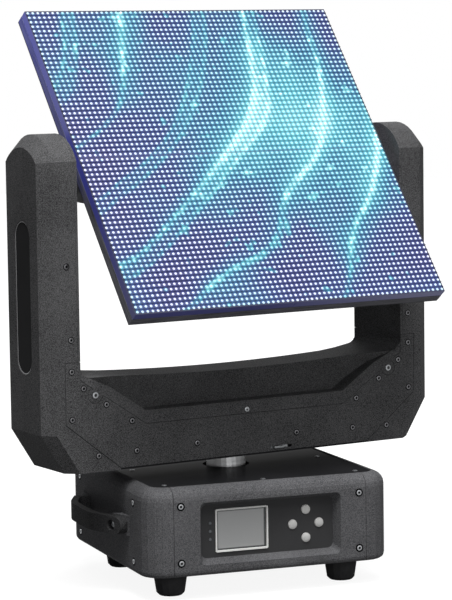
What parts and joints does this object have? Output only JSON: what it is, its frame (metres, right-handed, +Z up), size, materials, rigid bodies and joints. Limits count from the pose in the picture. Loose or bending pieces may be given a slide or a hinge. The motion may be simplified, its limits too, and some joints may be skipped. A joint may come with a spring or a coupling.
{
  "type": "led moving head",
  "caption": "Square LED video panel on a motorised yoke that pans and tilts on a floor or truss base with a display, push buttons, rear sockets and side handles.",
  "frame": {"origin": "centre of the base underside, on the pan axis", "axes": "+X right seen from the front of the base, +Y to the rear, +Z up along the pan axis"},
  "size_m": [0.4994, 0.3178, 0.6232],
  "materials": {
    "base_casing": "dark grey moulded plastic with a fine grain",
    "top_plate": "glossy black plate",
    "bottom_plate": "black powder coated steel",
    "foot_rubber": "black moulded rubber",
    "control_plate": "black glossy plastic",
    "bezel": "light grey plastic",
    "screen": "grey display window",
    "board": "green circuit board",
    "light_guide": "clear plastic",
    "button": "light grey button cap",
    "handle": "black moulded plastic",
    "connector": "black connector body",
    "connector_metal": "plated connector body",
    "fan": "black fan plastic",
    "supply": "enclosed supply, set by its mean density",
    "bearing": "ground steel",
    "motor": "black motor body",
    "pulley": "machined aluminium",
    "belt": "black toothed belt",
    "neck": "satin turned steel",
    "chassis": "black painted sheet steel",
    "yoke_casing": "charcoal moulded plastic with a fine grain",
    "yoke_cover": "dark charcoal moulded plastic",
    "lock": "bright steel slider",
    "led_mask": "dark violet ribbed mask",
    "cabinet": "dark painted aluminium"
  },
  "bodies": {
    "base": {"base_front_cover": "base_casing", "base_rear_cover": "base_casing", "base_end_cap_right": "base_casing", "base_end_cap_left": "base_casing", "base_top_plate": "top_plate", "base_bottom_plate": "bottom_plate", "foot_front_left": "foot_rubber", "foot_rear_left": "foot_rubber", "foot_front_right": "foot_rubber", "foot_rear_right": "foot_rubber", "control_plate": "control_plate", "display_bezel": "bezel", "display_screen": "screen", "control_board": "board", "main_board": "board", "light_guide": "light_guide", "handle_right": "handle", "handle_left": "handle", "power_inlet": "connector", "power_outlet": "connector", "data_inlet": "connector_metal", "data_outlet": "connector_metal", "fan_frame": "fan", "power_supply": "supply", "pan_bearing": "bearing", "pan_motor": "motor", "pan_belt": "belt", "pan_bearing_housing": "chassis"},
    "yoke": {"pan_pulley": "pulley", "pan_neck": "neck", "beam_chassis": "chassis", "beam_front_cover": "yoke_cover", "beam_rear_cover": "yoke_cover", "beam_saddle": "yoke_casing", "arm_cover_right": "yoke_casing", "arm_cover_left": "yoke_casing", "arm_inner_plate_right": "yoke_casing", "arm_inner_plate_left": "yoke_casing", "tilt_bearing_right": "bearing", "tilt_bearing_left": "bearing", "tilt_motor": "motor", "tilt_belt": "belt"},
    "head": {"led_module_lower_left": "led_mask", "led_module_lower_right": "led_mask", "led_module_upper_left": "led_mask", "led_module_upper_right": "led_mask", "panel_cabinet": "cabinet", "head_rear_housing": "yoke_casing", "tilt_trunnion_right": "neck", "tilt_trunnion_left": "neck", "tilt_pulley": "pulley"},
    "pan_drive": {"pan_motor_pulley": "pulley"},
    "fan": {"fan_rotor": "fan"},
    "lock_slider": {"pan_lock": "lock"},
    "tilt_drive": {"tilt_motor_pulley": "pulley"},
    "button_up_cap": {"button_up": "button"},
    "button_down_cap": {"button_down": "button"},
    "button_left_cap": {"button_left": "button"},
    "button_right_cap": {"button_right": "button"}
  },
  "joints": [
    {"name": "pan", "type": "hinge", "parent": "base", "child": "yoke", "pos_m": [0, 0, 0.1], "axis": [0, 0, 1], "range_deg": [-280.76, 259.24]},
    {"name": "tilt", "type": "hinge", "parent": "yoke", "child": "head", "pos_m": [0, 0, 0.4193], "axis": [0.9824, 0.1867, 0], "range_deg": [-188.05, 81.95]},
    {"name": "pan_motor_spin", "type": "hinge", "parent": "base", "child": "pan_drive", "pos_m": [-0.088, -0.048, 0.065], "axis": [0, 0, 1], "range_deg": [-1124, 1038]},
    {"name": "tilt_motor_spin", "type": "hinge", "parent": "yoke", "child": "tilt_drive", "pos_m": [0, 0, 0.146], "axis": [0.9824, 0.1867, 0], "range_deg": [-501, 220]},
    {"name": "fan_spin", "type": "hinge", "parent": "base", "child": "fan", "pos_m": [0.078, 0.125, 0.047], "axis": [0, 1, 0], "continuous": true},
    {"name": "pan_lock_slide", "type": "slide", "parent": "yoke", "child": "lock_slider", "axis": [0.9824, 0.1867, 0], "range_m": [0, 0.01]},
    {"name": "button_up_press", "type": "slide", "parent": "base", "child": "button_up_cap", "axis": [0, 1, 0], "range_m": [0, 0.001], "stiffness_N_per_m": 400, "springref_m": -0.0015},
    {"name": "button_down_press", "type": "slide", "parent": "base", "child": "button_down_cap", "axis": [0, 1, 0], "range_m": [0, 0.001], "stiffness_N_per_m": 400, "springref_m": -0.0015},
    {"name": "button_left_press", "type": "slide", "parent": "base", "child": "button_left_cap", "axis": [0, 1, 0], "range_m": [0, 0.001], "stiffness_N_per_m": 400, "springref_m": -0.0015},
    {"name": "button_right_press", "type": "slide", "parent": "base", "child": "button_right_cap", "axis": [0, 1, 0], "range_m": [0, 0.001], "stiffness_N_per_m": 400, "springref_m": -0.0015}
  ],
  "couplings": [
    {"joint": "pan_motor_spin", "follows": "pan", "ratio": 4},
    {"joint": "tilt_motor_spin", "follows": "tilt", "ratio": 2.6667}
  ]
}
